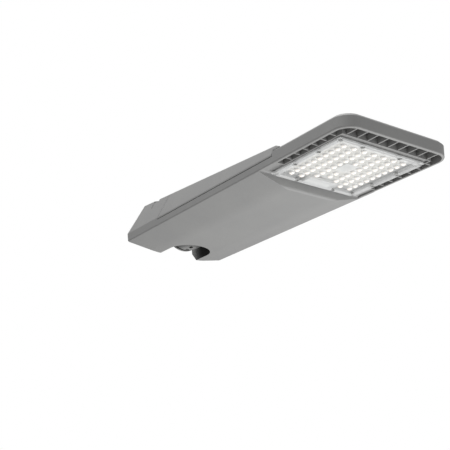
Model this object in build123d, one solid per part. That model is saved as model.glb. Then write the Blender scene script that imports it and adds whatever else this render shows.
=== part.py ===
from build123d import *
import os
from math import atan, degrees, sqrt

# LED street light head, in millimetres. The origin is the centre of the pole socket's mouth,
# +X runs to the nose of the head, +Y to its left side and +Z up.

# Outline of the body
half_width = 109.0
bottom_z = -47.4
bottom_half_width = 50.5
bottom_blend = 90.0
side_low_z = -32.2
side_edge_radius = 2.5
rear_corner_radius = 4.0
crown_edge_radius = 2.5
band_top_z = -16.2
side_lean = 0.3125
wall = 3.0
high_z = 70.0
over = 1.0
skim = 0.1
far = 60.0

# Rear end, seen from the side
rear_bottom_x = -15.0
rear_low_x = -31.0
rear_low_z = -31.0
rear_band_x = -34.0
rear_top_x = 3.0
rear_top_z = 34.4

# Crowned top, which falls towards the nose
crown_edge_y = 93.0
crown_rise = 16.0
crown_fall = 0.0717

# Parting of lid and housing
seam_z = -20.2
seam_gap = 1.4
lid_wall = 2.5
land_width = 8.0
horn_low_x = 84.5
horn_top_x = 106.5
horn_top_z = 27.7
joint_gap = 0.8
tongue_depth = 15.0
tongue_half_width = 88.0
lid_step_gap = 1.4
ramp_z = -0.3
ramp_slope = 0.5214
lid_foot_gap = 0.4
flange_gap = 0.5
shelf_rear_wall = 4.0
shelf_front_wall = 8.0

# Groove and hooked slit in the top of the rear end
groove_rear_x = 45.0
groove_front_x = 69.0
groove_depth = 3.5
groove_ramp = 9.0
hook_x = 34.0
hook_radius = 11.0
hook_width = 1.6
hook_depth = 2.0
hook_inset = 2.0
hook_tail = 7.0
hook_run = 6.0
hook_rise = 20.0
hook_reach = 12.0

# Lid hinge
hinge_x = 82.5
hinge_z = 39.5
hinge_y = 24.0
knuckle_radius = 4.0
knuckle_length = 8.0
knuckle_gap = 0.4
pin_radius = 1.75
pin_clearance = 0.08
tongue_reach = 3.0
tongue_gap = 2.5
lug_root = 9.0
ear_run = 12.0
ear_rise = 4.0
ear_top = 6.0
ear_length = 6.0
ear_slot_gap = 1.5

# Head
rim_top_z = -12.6
head_top_z = -7.6
head_corner_radius = 29.0
rim_wall = 5.0
front_rim_wall = 4.0
front_cell = 24.5
roof = 3.0
scoop_run = 4.9
shelf_thickness = 7.5
bay_end_gap = 17.0
scoop_edge_radius = 6.5
scoop_root_radius = 4.6
pocket_lap = 10.0

# Cells between the rim and the optic frame
frame_half_width = 91.0
frame_lip = 1.7
rib_pitch = 21.5
rib_thickness = 2.0
rib_low_z = -31.2
side_rib_count = 6
front_rib_pitch = 20.5
front_rib_count = 9

# Heat sink fins in the top of the head
sink_wall = 3.5
seat_top_z = -20.0
seat_z = -24.0
fin_pitch = 12.0
fin_thickness = 2.4
fin_count = 14
fin_end_gap = 6.0
weep_places = (-2.5, -0.5, 0.5, 2.5)
weep_width = 10.0
weep_height = 3.0

# Light source
cover_length = 172.0
cover_rear_gap = 10.0
cover_front_gap = 10.0
cover_side_gap = 2.0
seal_border = 13.7
cover_corner = 2.0
land_z = -29.2
gasket_height = 2.0
gasket_width = 3.0
gasket_margin = 0.5
bump_length = 26.5
bump_width = 60.0
bump_drop = 3.8
bump_wall = 1.5
plate_thickness = 2.5
flange_depth = 5.0
flange_lip = 2.2
pocket_radius = 5.5
pocket_wall = 1.2
side_screw_offset = 29.5
end_screw_offset = 38.0
screw_inset = 7.0
lens_pitch_x = 14.33
lens_pitch_y = 20.41
lens_rows = 10
lens_columns = 7
lens_radius = 6.0
lens_top_radius = 3.6
lens_height = 2.6
blank_rows = 6
blank_row = 4.5
middle_lens_rows = (1.62, 2.63)
blank_length = 30.0
blank_width = 26.0
blank_height = 1.0
chip_size = 3.5
chip_height = 0.7
pad_thickness = 0.5
board_thickness = 1.6
board_margin = 0.6
board_screw_cells = ((1.5, 2.5), (8.5, 2.5), (4.5, 1.5))
connector_length = 8.5
connector_width = 50.0
connector_height = 8.0
plug_depth = 3.0

# Screws, as shank radius, head radius and head height
m3 = (1.4, 2.7, 1.6)
m4 = (1.9, 3.2, 2.2)
m4_pan = (1.9, 3.8, 2.4)
m5 = (2.4, 4.2, 3.5)
screw_clearance = 0.1
through_clearance = 0.35
head_clearance = 1.0
cover_screw_reach = 5.0
board_screw_reach = 3.0
board_screw_end = 0.4
screw_end_gap = 0.5

# Pole socket
pole_radius = 30.0
bore_clearance = 0.25
bore_depth = 44.0
pivot_x = 24.0
notch_radius = 42.0
notch_wall = 3.0
lip_radius = 40.0
lip_length = 5.0
groove_radius = 37.0
groove_length = 4.0
ring_radius = 39.5
ring_length = 4.0
ball_gap = 0.5
ball_rear_x = 13.0
ball_front_x = 54.0
stop_radius = 20.0
boss_radius = 13.0
boss_gap = 0.3
boss_margin = 1.0
boss_rim = 2.0
pivot_radius = 5.0
pivot_clearance = 0.1
pivot_head = 6.4
washer_radius = 10.0
washer_thickness = 2.0
pivot_tip_y = 31.0
set_screw_radius = 4.0
set_screw_x = (18.0, 32.0)
set_screw_length = 8.0
set_screw_gap = 0.3
set_screw_drive = 2.3
set_screw_drive_depth = 3.0
pivot_hex = 9.2
ring_stand = 1.8

# Cable entry
gland_z = 22.0
gland_face_x = 71.0
gland_bore = 5.0
gland_thread_radius = 8.0
gland_hex = 11.0
gland_body_length = 6.0
gland_cap_radius = 9.6
gland_cap_length = 12.0
gland_boss_half = 14.0
gland_nose = 3.0
gland_thread_gap = 0.4
gland_thread_step = 0.6
gland_thread_clearance = 0.1
gland_seal_wall = 1.2
gland_seal_lap = 2.0

# Gear tray and what stands on it
tray_rear_x = 96.0
tray_end = 12.0
tray_rear_screw = 14.0
tray_front_screw = 10.0
tray_half_width = 49.0
tray_lift = 2.0
tray_sheet = 1.5
tray_flange = 8.0
tray_screw_y = 38.0
tray_boss_radius = 5.5
tray_side_end = 12.0
tray_bore_floor = 1.4
tray_tip_gap = 0.2
port_depth = 4.0
driver_length = 144.0
driver_half_width = 42.0
driver_height = 34.0
driver_ear = 11.0
driver_gap = 4.0
driver_ear_half_width = 20.0
driver_ear_height = 2.0
driver_edge = 4.0
driver_grooves = 5
driver_groove_pitch = 14.0
driver_groove_half = 2.0
driver_groove_depth = 1.2
driver_groove_end = 10.0
driver_screw_end = 0.8
surge_length = 42.0
surge_gap = 14.0
surge_side_y = -45.0
surge_width = 26.0
surge_height = 28.0
surge_edge = 2.0
foot_height = 3.0
foot_end = 5.0
surge_foot_reach = 8.0
surge_foot_half = 6.0
sheet_screw_end = 0.5
terminal_length = 24.0
terminal_gap = 10.0
terminal_half_width = 22.0
terminal_height = 18.0
terminal_pitch = 12.0
terminal_port_rise = 11.5
wire_rise = 7.2
wire_hole_extra = 0.7
wire_hole_depth = 8.0
well_radius = 2.6
well_offset = 6.0
well_depth = 4.0
slit_half = 0.6
slit_depth = 3.0
terminal_foot = 8.0
terminal_foot_screw = 4.0
surge_port_pitch = 8.0
clamp_length = 10.0
clamp_inset = 2.0
clamp_half_width = 18.0
clamp_base_height = 14.0
clamp_bar_height = 6.0
clamp_bore = 5.5
clamp_screw_y = 12.0
clamp_arch_wall = 2.5

# Small parts on the shelf, and the inner leads
lid_screw_y = 60.0
lid_screw_seat_z = 8.0
lid_screw_tip_z = -26.5
lid_boss_radius = 6.5
vent_y = -51.0
vent_radius = 4.0
vent_head_radius = 6.0
vent_head_height = 4.0
vent_bore = 1.5
vent_hole_offset = 5.0
grommet_radius = 5.0
grommet_flange = 7.0
grommet_flange_height = 1.5
lead_radius = 1.5
lead_spread = 2.4
lead_clearance = 0.1
lead_end_gap = 1.0
shelf_lead_rise = 5.0
input_lead_run = 20.0
input_lead_end = 22.0
input_bend = 12.0
output_lead_run = 16.0
output_lead_end = 4.0
output_bends = (8.0, 8.0, 4.2, 2.6)
surge_lead_run = 5.0
surge_bend = 4.0

# Seam gasket
strip_gap = 0.2
strip_in = 4.0
strip_width = 3.5
strip_start = 8.0

# Places in the head, from the rear end of the lens cover
lid_screw_offset = -2.5
lid_front_offset = 30.1
ramp_run = 4.4
cell_offset = 38.9
sink_offset = 53.5
bump_offset = 4.0
lens_offset = 21.5
connector_gap = 2.0
grommet_offset = 18.5
vent_offset = 19.5

# Places along the length, from the tray's rear end to the nose
clamp_rear_x = tray_rear_x + clamp_inset
terminal_rear_x = clamp_rear_x + clamp_length + terminal_gap
surge_rear_x = terminal_rear_x + terminal_length + surge_gap
driver_rear_x = surge_rear_x + surge_length + driver_gap + driver_ear
tray_front_x = driver_rear_x + driver_length + driver_ear + tray_end
tray_screw_x = (tray_rear_x + tray_rear_screw, tray_front_x - tray_front_screw)
shelf_rear_x = tray_front_x + bay_end_gap
scoop_x = shelf_rear_x + shelf_thickness
cover_rear_x = scoop_x + cover_rear_gap
cover_x = cover_rear_x + cover_length / 2
frame_front_x = cover_rear_x + cover_length + cover_front_gap
nose_x = frame_front_x + front_cell + front_rim_wall
lid_screw_x = cover_rear_x + lid_screw_offset
lid_front_x = cover_rear_x + lid_front_offset
ramp_x = lid_front_x + ramp_run
cell_rear_x = cover_rear_x + cell_offset
sink_rear_x = cover_rear_x + sink_offset
bump_rear_x = cover_rear_x + bump_offset
bump_front_x = bump_rear_x + bump_length
lens_x = cover_rear_x + lens_offset
connector_rear_x = bump_rear_x + connector_gap
grommet_x = cover_rear_x + grommet_offset
vent_x = cover_rear_x + vent_offset

# Widths that follow from the optic frame
cover_width = 2 * (frame_half_width - frame_lip - cover_side_gap)
chamber_length = cover_length - 2 * seal_border
chamber_width = cover_width - 2 * seal_border

os.makedirs("parts", exist_ok=True)


def save(name, shape):
    """Writes one piece, or a group of like pieces, as its own file."""
    export_step(shape, "parts/" + name + ".step")


def block(x0, x1, y0, y1, z0, z1):
    """A box between two corners."""
    return Pos((x0 + x1) / 2, (y0 + y1) / 2, (z0 + z1) / 2) * Box(x1 - x0, y1 - y0, z1 - z0)


def rod_x(radius, x0, x1, y, z):
    return Pos((x0 + x1) / 2, y, z) * Rot(0, 90, 0) * Cylinder(radius, x1 - x0)


def rod_y(radius, x, y0, y1, z):
    return Pos(x, (y0 + y1) / 2, z) * Rot(90, 0, 0) * Cylinder(radius, y1 - y0)


def rod_z(radius, x, y, z0, z1):
    return Pos(x, y, (z0 + z1) / 2) * Cylinder(radius, z1 - z0)


def prism_x(sketch, x0, x1):
    """Extrudes a sketch drawn in Y and Z."""
    return extrude(Plane.YZ.offset(x0) * sketch, amount=x1 - x0)


def prism_y(sketch, y0, y1):
    """Extrudes a sketch drawn in X and Z."""
    return extrude(Plane.XZ.offset(-y1) * sketch, amount=y1 - y0)


def prism_z(sketch, z0, z1):
    """Extrudes a sketch drawn in X and Y."""
    return extrude(Plane.XY.offset(z0) * sketch, amount=z1 - z0)


def outline(*points):
    return Polygon(*points, align=None)


def both_sides(shape):
    """The shape and its mirror image across the middle plane."""
    return shape + mirror(shape, about=Plane.XZ)


def screw_down(size, x, y, head_z, tip_z):
    """A screw from above: its head stands on head_z and its shank ends at tip_z."""
    shank, head, height = size
    drive = Pos(x, y, head_z + height / 2) * extrude(RegularPolygon(head / 2, 6), amount=height)
    return rod_z(shank, x, y, tip_z, head_z) + rod_z(head, x, y, head_z, head_z + height) - drive


def screw_up(size, x, y, head_z, tip_z):
    """A screw from below: its head hangs under head_z and its shank ends at tip_z."""
    shank, head, height = size
    drive = Pos(x, y, head_z - height / 2) * extrude(RegularPolygon(head / 2, 6), amount=-height)
    return rod_z(shank, x, y, head_z, tip_z) + rod_z(head, x, y, head_z - height, head_z) - drive


# Section of the body across its length: flat bottom, sloping facets, vertical band, leaning wall
lean_run = side_lean * (high_z - band_top_z)
section = outline(
    (-bottom_half_width, bottom_z),
    (bottom_half_width, bottom_z),
    (half_width, side_low_z),
    (half_width, band_top_z),
    (half_width - lean_run, high_z),
    (lean_run - half_width, high_z),
    (-half_width, band_top_z),
    (-half_width, side_low_z),
)
bottom_corners = section.vertices().filter_by(lambda v: v.Y < bottom_z + over)
section = fillet(bottom_corners, radius=bottom_blend)

# Side view of the rear end: a raked wall above the band and a cut-back edge below it
rake = (rear_top_x - rear_band_x) / (rear_top_z - band_top_z)
cut_back = (rear_bottom_x - rear_low_x) / (rear_low_z - bottom_z)
below_z = bottom_z - far
side_view = outline(
    (rear_low_x + cut_back * (rear_low_z - below_z), below_z),
    (nose_x, below_z),
    (nose_x, high_z),
    (rear_top_x + rake * (high_z - rear_top_z), high_z),
    (rear_band_x, band_top_z),
    (rear_low_x, rear_low_z),
)

# The crowned top is part of a large cylinder whose axis falls towards the nose
crown_radius = (crown_edge_y ** 2 + crown_rise ** 2) / (2 * crown_rise)
crown_axis_z = rear_top_z + crown_rise - crown_radius
fall_angle = degrees(atan(crown_fall))


def under_crown(depth):
    """Everything that lies more than depth below the crowned top."""
    return Pos(rear_top_x, 0, crown_axis_z) * Rot(0, 90 + fall_angle, 0) * Cylinder(crown_radius - depth, 3 * nose_x)


def crown_top(x, y):
    """Height of the crowned top at a place."""
    return crown_axis_z + sqrt(crown_radius ** 2 - y ** 2) - crown_fall * (x - rear_top_x)


def body_space(depth, x1):
    """The body's outer form up to x1, with every face moved in by depth."""
    across = section
    along = side_view
    if depth > 0:
        across = offset(section, amount=-depth, kind=Kind.INTERSECTION)
        along = offset(side_view, amount=-depth, kind=Kind.INTERSECTION)
    rear = prism_x(across, rear_band_x - over, x1)
    return rear & prism_y(along, -half_width - over, half_width + over) & under_crown(depth)


# Outer form of the rear body and the lid in one piece, with its cast edges rounded
ramp_far_x = ramp_x + (ramp_z - head_top_z) / ramp_slope
form = body_space(0, ramp_far_x + wall)
rear_corners = form.edges().filter_by(lambda e: e.center().X < 0 and abs(e.center().Y) > crown_edge_y)
form = fillet(rear_corners.filter_by(lambda e: abs(e.tangent_at(0.5).Z) > 0.5), radius=rear_corner_radius)
side_edges = form.edges().filter_by(lambda e: e.length > nose_x / 2 and abs(e.center().Z - side_low_z) < over)
form = fillet(side_edges, radius=side_edge_radius)
crown_edges = form.edges().filter_by(lambda e: e.center().Z > 0 and abs(e.center().Y) > crown_edge_y / 2)
crown_edges = crown_edges.filter_by(lambda e: e.length > nose_x / 2)
form = fillet(crown_edges, radius=crown_edge_radius)

# Space of the lid: in front of the raked joint, and a tongue that runs back to the hinge
horn_slope = (horn_top_x - horn_low_x) / (horn_top_z - seam_z)


def lid_space(rear_gap, low_z, front_x, tongue_rear_x, tongue_half):
    """The room of the lid behind front_x and above low_z, with a gap at its raked rear edge."""
    low_x = horn_low_x + horn_slope * (low_z - seam_z) + rear_gap
    top_x = horn_low_x + horn_slope * (high_z - seam_z) + rear_gap
    view = outline((low_x, low_z), (front_x, low_z), (front_x, high_z), (top_x, high_z))
    main = prism_y(view, -half_width - over, half_width + over)
    tongue = block(tongue_rear_x, top_x, -tongue_half, tongue_half, horn_top_z - tongue_depth, high_z)
    return main + tongue


# Head: a rounded plate with a bevelled top edge
head_rear_x = scoop_x - head_corner_radius
head_length = nose_x - head_rear_x
head_plan = Pos((nose_x + head_rear_x) / 2, 0) * RectangleRounded(head_length, 2 * half_width, head_corner_radius)
head_block = prism_z(head_plan, side_low_z, head_top_z)
bevel_height = head_top_z - rim_top_z
top_edges = head_block.faces().sort_by(Axis.Z)[-1].edges()
head_block = chamfer(top_edges, length=bevel_height)
low_edges = head_block.faces().sort_by(Axis.Z)[0].edges()
head_block = fillet(low_edges, radius=side_edge_radius)
step_x = lid_front_x + lid_step_gap
head_block = head_block - block(head_rear_x - over, step_x, -half_width - over, half_width + over, seam_z, high_z)

# Rear body with its bay, open under the lid
tongue_seat_x = hinge_x - knuckle_radius - tongue_gap
shell = form & block(rear_band_x - over, step_x, -half_width, half_width, bottom_z, high_z)
bay = body_space(wall, shelf_rear_x)
bay_low = bay & block(rear_band_x - over, shelf_rear_x, -half_width, half_width, bottom_z, seam_z - wall)
mouth_z = seam_z - wall - over
bay_rear = bay & block(rear_band_x - over, horn_low_x + joint_gap, -half_width, half_width, mouth_z, high_z)
bay_mouth_half = half_width - wall - land_width
bay_mouth = block(horn_low_x - over, shelf_rear_x, -bay_mouth_half, bay_mouth_half, mouth_z, seam_z + over)
horns = bay & block(horn_low_x - over, horn_top_x + far, -half_width, half_width, seam_z, high_z)
cavity = bay_low + bay_rear + bay_mouth + horns
lid_room = lid_space(0, seam_z, step_x, tongue_seat_x, tongue_half_width + joint_gap)
housing = shell + head_block - cavity - lid_room

# Walls round the socket chamber, open downwards and to the rear
chamber_plan = Pos(pivot_x, 0) * Circle(notch_radius + notch_wall)
chamber_tail = Pos((pivot_x + rear_band_x) / 2, 0) * Rectangle(pivot_x - rear_band_x, 2 * (notch_radius + notch_wall))
chamber_block = prism_z(chamber_plan + chamber_tail, bottom_z, high_z) & form
notch_rear_x = rear_band_x - far
notch_tail = Pos((pivot_x + notch_rear_x) / 2, 0) * Rectangle(pivot_x - notch_rear_x, 2 * notch_radius)
notch = prism_z(Pos(pivot_x, 0) * Circle(notch_radius) + notch_tail, below_z, high_z)
notch = notch & under_crown(wall)
gland_boss = block(
    pivot_x + notch_radius + over, gland_face_x, -gland_boss_half, gland_boss_half,
    gland_z - gland_boss_half, gland_z + gland_boss_half,
)
seat_y = notch_radius + notch_wall
seat_pad = rod_y(boss_radius + boss_margin + boss_rim, pivot_x, notch_radius - boss_rim, seat_y, 0)
seat_pocket = rod_y(boss_radius + boss_margin, pivot_x, pivot_tip_y, notch_radius, 0)
housing = housing + chamber_block + gland_boss + both_sides(seat_pad)
housing = housing - notch - both_sides(seat_pocket)
housing = housing - rod_x(gland_thread_radius + screw_clearance, pivot_x, gland_face_x + over, 0, gland_z)
housing = housing - rod_y(pivot_radius + pivot_clearance, pivot_x, -seat_y - over, seat_y + over, 0)

# Groove across the top and the hooked slits at its rear end
groove_view = outline(
    (groove_rear_x, high_z),
    (groove_rear_x, 0),
    (groove_front_x - groove_ramp, 0),
    (groove_front_x + groove_ramp, high_z),
)
groove = prism_y(groove_view, -half_width, half_width) - under_crown(groove_depth)
groove_skin = form - under_crown(groove_depth + wall)
groove_skin = groove_skin & block(groove_rear_x - wall, groove_front_x + wall, -half_width, half_width, 0, high_z)
housing = housing + groove_skin
housing = housing - groove
hook_z = crown_top(hook_x, crown_edge_y) - hook_radius + hook_inset
hook_view = Pos(hook_x, hook_z) * (Circle(hook_radius + hook_width) - Circle(hook_radius))
hook_view = hook_view & outline(
    (hook_x, hook_z - hook_tail),
    (hook_x + hook_rise, hook_z - hook_tail),
    (hook_x + hook_rise, hook_z + hook_rise),
    (hook_x + hook_run, hook_z + hook_rise),
)
hook = prism_y(hook_view, crown_edge_y - hook_reach, half_width)
side_skin = shell - body_space(hook_depth, step_x)
housing = housing - both_sides(hook & side_skin)

# Hinge lugs under the rear edge of the lid
lug_view = Pos(hinge_x, hinge_z) * Circle(knuckle_radius) + outline(
    (pivot_x + notch_radius, hinge_z - lug_root),
    (hinge_x, hinge_z - knuckle_radius),
    (hinge_x, hinge_z + knuckle_radius),
    (pivot_x + notch_radius, hinge_z + knuckle_radius),
)
for side in (-1, 1):
    lug = prism_y(lug_view, side * hinge_y - knuckle_length / 2, side * hinge_y + knuckle_length / 2)
    housing = housing + (lug & form)
    bore_y = side * hinge_y
    bore = rod_y(pin_radius + pin_clearance, hinge_x, bore_y - knuckle_length, bore_y + knuckle_length, hinge_z)
    housing = housing - bore

# Scoop that rises from the flat bottom to the optic recess
scoop_line = FilletPolyline(
    (scoop_x - far, bottom_z - skim),
    (scoop_x, bottom_z - skim),
    (scoop_x + scoop_run, land_z),
    (scoop_x + scoop_run + far / 2, land_z),
    radius=(scoop_edge_radius, scoop_root_radius),
)
scoop_rest = Polyline(
    (scoop_x + scoop_run + far / 2, land_z),
    (cell_rear_x - rib_thickness / 2, land_z),
    (cell_rear_x - rib_thickness / 2, below_z),
    (scoop_x - far, below_z),
    (scoop_x - far, bottom_z - skim),
)
scoop_face = make_face(scoop_line.edges() + scoop_rest.edges())
rim_inner = half_width - rim_wall
scoop = prism_y(scoop_face, -rim_inner, rim_inner)
under_rim = prism_y(scoop_face, -half_width - over, half_width + over) & block(
    scoop_x - far, nose_x, -half_width - over, half_width + over, below_z, side_low_z)
housing = housing - scoop - under_rim

# Cells round the optic frame, with their ribs
cell_front_x = nose_x - front_rim_wall
cell_start_x = cell_rear_x + rib_thickness / 2
cell_plan_rear = cell_start_x - far
cell_plan = Pos((cell_front_x + cell_plan_rear) / 2, 0) * RectangleRounded(
    cell_front_x - cell_plan_rear, 2 * rim_inner, head_corner_radius - rim_wall)
cell_window = Pos((cell_front_x + cell_start_x) / 2, 0) * Rectangle(cell_front_x - cell_start_x, 2 * rim_inner)
cell_plan = cell_plan & cell_window
frame_plan = Pos((frame_front_x + cell_plan_rear) / 2, 0) * Rectangle(
    frame_front_x - cell_plan_rear, 2 * frame_half_width)
cells = prism_z(cell_plan - frame_plan, side_low_z - over, head_top_z - roof)
ribs = []
for index in range(1, side_rib_count + 1):
    x = cell_rear_x + rib_pitch * index
    ribs.append(block(
        x - rib_thickness / 2, x + rib_thickness / 2,
        frame_half_width - over, rim_inner + over,
        rib_low_z, head_top_z - roof))
for rib in ribs:
    cells = cells - rib - mirror(rib, about=Plane.XZ)
for index in range(front_rib_count):
    y = front_rib_pitch * (index - (front_rib_count - 1) / 2)
    cells = cells - block(
        frame_front_x - over, cell_front_x + over,
        y - rib_thickness / 2, y + rib_thickness / 2,
        rib_low_z, head_top_z - roof)
housing = housing - cells

# Pocket of the lens cover and the chamber of the light source
pocket_front_x = frame_front_x - frame_lip
pocket_half = frame_half_width - frame_lip
pocket = block(cell_rear_x - pocket_lap, pocket_front_x, -pocket_half, pocket_half, below_z, land_z)
chamber_outline = Pos(cover_x, 0) * Rectangle(chamber_length, chamber_width)
bump_outline = Pos((bump_rear_x + bump_front_x) / 2, 0) * Rectangle(bump_front_x - bump_rear_x, bump_width)
chamber_outline = chamber_outline + bump_outline
light_chamber = prism_z(chamber_outline, land_z - over, seat_z)
housing = housing - pocket - light_chamber

# Fins in the top of the head, drained into the front cells
sink_front_x = frame_front_x - sink_wall
sink_half = frame_half_width - sink_wall
sink = block(sink_rear_x, sink_front_x, -sink_half, sink_half, seat_top_z, high_z)
for index in range(fin_count):
    y = fin_pitch * (index - (fin_count - 1) / 2)
    sink = sink - block(
        sink_rear_x + fin_end_gap, sink_front_x - fin_end_gap,
        y - fin_thickness / 2, y + fin_thickness / 2,
        seat_top_z, high_z)
housing = housing - sink
for place in weep_places:
    y = place * front_rib_pitch
    housing = housing - block(
        sink_front_x - over, frame_front_x + over,
        y - weep_width / 2, y + weep_width / 2,
        seat_top_z, seat_top_z + weep_height)

# Shelf in front of the bay, under the lid, level with the seam
shelf_core = block(
    step_x + shelf_rear_wall, sink_rear_x - shelf_front_wall,
    -tongue_half_width, tongue_half_width,
    seat_top_z, high_z)
housing = housing - shelf_core

# Bosses, holes and bores of the housing
floor_z = bottom_z + wall
tray_z = floor_z + tray_lift
tray_top_z = tray_z + tray_sheet
tray_screws_at = [(x, side * tray_screw_y) for x in tray_screw_x for side in (-1, 1)]
for x, y in tray_screws_at:
    housing = housing + rod_z(tray_boss_radius, x, y, floor_z - over, tray_z)
    housing = housing - rod_z(m4_pan[0] + screw_clearance, x, y, bottom_z + tray_bore_floor, tray_z + over)
lid_screws_at = [(lid_screw_x, side * lid_screw_y) for side in (-1, 1)]
for x, y in lid_screws_at:
    housing = housing - rod_z(m5[0] + through_clearance, x, y, lid_screw_tip_z - screw_end_gap, seam_z + over)
housing = housing - rod_z(vent_radius + screw_clearance, vent_x, vent_y, seat_z - over, seam_z + over)
housing = housing - rod_z(grommet_radius + screw_clearance, grommet_x, 0, seat_z - over, seam_z + over)
cover_half_x = cover_length / 2 - screw_inset
cover_half_y = cover_width / 2 - screw_inset
cover_screws_at = []
for sx in (-1, 1):
    for sy in (-1, 1):
        cover_screws_at.append((cover_x + sx * cover_half_x, sy * cover_half_y))
        cover_screws_at.append((cover_x + sx * cover_half_x, sy * end_screw_offset))
        cover_screws_at.append((cover_x + sx * side_screw_offset, sy * cover_half_y))
cover_tip_z = land_z + cover_screw_reach
for x, y in cover_screws_at:
    housing = housing - rod_z(m4[0] + screw_clearance, x, y, land_z - over, cover_tip_z + screw_end_gap)
board_screws_at = [(lens_x + lens_pitch_x * row, side * lens_pitch_y * column)
                   for row, column in board_screw_cells for side in (-1, 1)]
board_tip_z = seat_z + board_screw_reach
for x, y in board_screws_at:
    housing = housing - rod_z(m3[0] + screw_clearance, x, y, seat_z - over, board_tip_z + board_screw_end)
save("housing", housing)

# Lid: a shell over the bay, with a raked rear edge, a tongue to the hinge and a ramped front
lid_low_z = seam_z + seam_gap


def under_ramp(depth):
    """Everything under the lid's sloping front, moved in by depth."""
    drop = depth * sqrt(1 + ramp_slope ** 2)
    view = outline(
        (0, below_z),
        (nose_x, below_z),
        (nose_x, ramp_z - drop - ramp_slope * (nose_x - ramp_x)),
        (0, ramp_z - drop + ramp_slope * ramp_x),
    )
    return prism_y(view, -half_width - over, half_width + over)


tongue_rear_x = hinge_x - tongue_reach
lid_outer = form & under_ramp(0)
lid_outer = lid_outer & lid_space(joint_gap, lid_low_z, ramp_far_x + over, tongue_rear_x, tongue_half_width)
lid_outer = lid_outer - block(
    lid_front_x, nose_x, -half_width - over, half_width + over, below_z, head_top_z + lid_foot_gap)
lid_hollow = body_space(lid_wall, lid_front_x - lid_wall) & under_ramp(lid_wall)
land_inner = bay_mouth_half + flange_gap
flange_band = block(0, lid_front_x, land_inner, half_width, below_z, lid_low_z + lid_wall)
flange_band = both_sides(flange_band)
nose_hollow = body_space(lid_wall, ramp_far_x) & under_ramp(lid_wall)
nose_hollow = nose_hollow & block(lid_front_x, ramp_far_x, -half_width, half_width, below_z, high_z)
lid = lid_outer - (lid_hollow - flange_band) - nose_hollow
for x, y in lid_screws_at:
    top_z = crown_top(x, y)
    boss = rod_z(lid_boss_radius, x, y, lid_low_z, top_z) & form
    lid = lid + boss
    lid = lid - rod_z(m5[1] + head_clearance, x, y, lid_screw_seat_z, high_z)
    lid = lid - rod_z(m5[0] + through_clearance, x, y, lid_low_z - over, lid_screw_seat_z + over)
ear_view = Pos(hinge_x, hinge_z) * Circle(knuckle_radius) + outline(
    (hinge_x, hinge_z - knuckle_radius),
    (hinge_x + ear_run, hinge_z - knuckle_radius + ear_rise),
    (hinge_x + ear_run, hinge_z + ear_top),
    (hinge_x, hinge_z + knuckle_radius),
)
ear_offset = knuckle_length / 2 + knuckle_gap
ear_reach = ear_offset + ear_length
for side in (-1, 1):
    middle = side * hinge_y
    slot_x = hinge_x + knuckle_radius + ear_slot_gap
    lid = lid - block(tongue_rear_x - over, slot_x, middle - ear_offset, middle + ear_offset, 0, high_z)
    for end in (-1, 1):
        ear_y0 = middle + end * ear_offset
        ear_y1 = middle + end * ear_reach
        ear = prism_y(ear_view, min(ear_y0, ear_y1), max(ear_y0, ear_y1)) & form
        lid = lid + ear
    lid = lid - rod_y(pin_radius, hinge_x, middle - ear_reach - over, middle + ear_reach + over, hinge_z)
save("lid", lid)

# Hinge pins, fixed in the lid's ears and free in the housing's lugs
pins = []
for side in (-1, 1):
    middle = side * hinge_y
    pins.append(rod_y(pin_radius, hinge_x, middle - ear_reach, middle + ear_reach, hinge_z))
save("hinge_pins", Compound(children=pins))

# Captive screws of the lid
lid_screws = [screw_down(m5, x, y, lid_screw_seat_z, lid_screw_tip_z) for x, y in lid_screws_at]
save("lid_screws", Compound(children=lid_screws))

# Seam gasket: a strip on the housing's land along both sides and across the front
strip_x = horn_low_x + strip_start
strip_half = half_width - strip_in
strip = block(strip_x, lid_front_x, -strip_half, strip_half, seam_z, lid_low_z - strip_gap)
strip_inner = strip_half - strip_width
strip = strip - block(strip_x - over, lid_front_x - strip_width, -strip_inner, strip_inner, seam_z - over, high_z)
save("lid_gasket", strip)

# Lens cover: a clear plate with a lipped flange, screw pockets, domes and a box over the connector
plate_top_z = land_z - gasket_height
plate_low_z = plate_top_z - plate_thickness
flange_low_z = plate_top_z - flange_depth
cover_plan = Pos(cover_x, 0) * RectangleRounded(cover_length, cover_width, cover_corner)
cover_inner = Pos(cover_x, 0) * Rectangle(cover_length - 2 * flange_lip, cover_width - 2 * flange_lip)
cover = prism_z(cover_plan, plate_low_z, plate_top_z)
cover = cover + prism_z(cover_plan - cover_inner, flange_low_z, plate_low_z)
for x, y in cover_screws_at:
    pocket_wall_rod = rod_z(pocket_radius, x, y, flange_low_z, plate_low_z)
    cover = cover + (pocket_wall_rod & prism_z(cover_plan, flange_low_z, plate_low_z))
for x, y in cover_screws_at:
    cover = cover - rod_z(pocket_radius - pocket_wall, x, y, flange_low_z - over, plate_low_z)
    cover = cover - rod_z(m4[0] + through_clearance, x, y, plate_low_z - over, plate_top_z + over)
lens_places = []
middle_column = (lens_columns - 1) / 2
for row in range(lens_rows):
    for column in range(lens_columns):
        across = column - middle_column
        if row == 0 and abs(across) <= 1:
            continue
        if across == 0 and row < blank_rows:
            continue
        lens_places.append((lens_x + lens_pitch_x * row, lens_pitch_y * across))
for row in middle_lens_rows:
    lens_places.append((lens_x + lens_pitch_x * row, 0))
lens = Rot(180, 0, 0) * Cone(lens_radius, lens_top_radius, lens_height, align=(Align.CENTER, Align.CENTER, Align.MIN))
for x, y in lens_places:
    cover = cover + Pos(x, y, plate_low_z) * lens
blank_x = lens_x + blank_row * lens_pitch_x
cover = cover + block(
    blank_x - blank_length / 2, blank_x + blank_length / 2, -blank_width / 2, blank_width / 2,
    plate_low_z - blank_height, plate_low_z)
bump_low_z = plate_low_z - bump_drop
cover = cover + prism_z(bump_outline, bump_low_z, plate_low_z)
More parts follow.
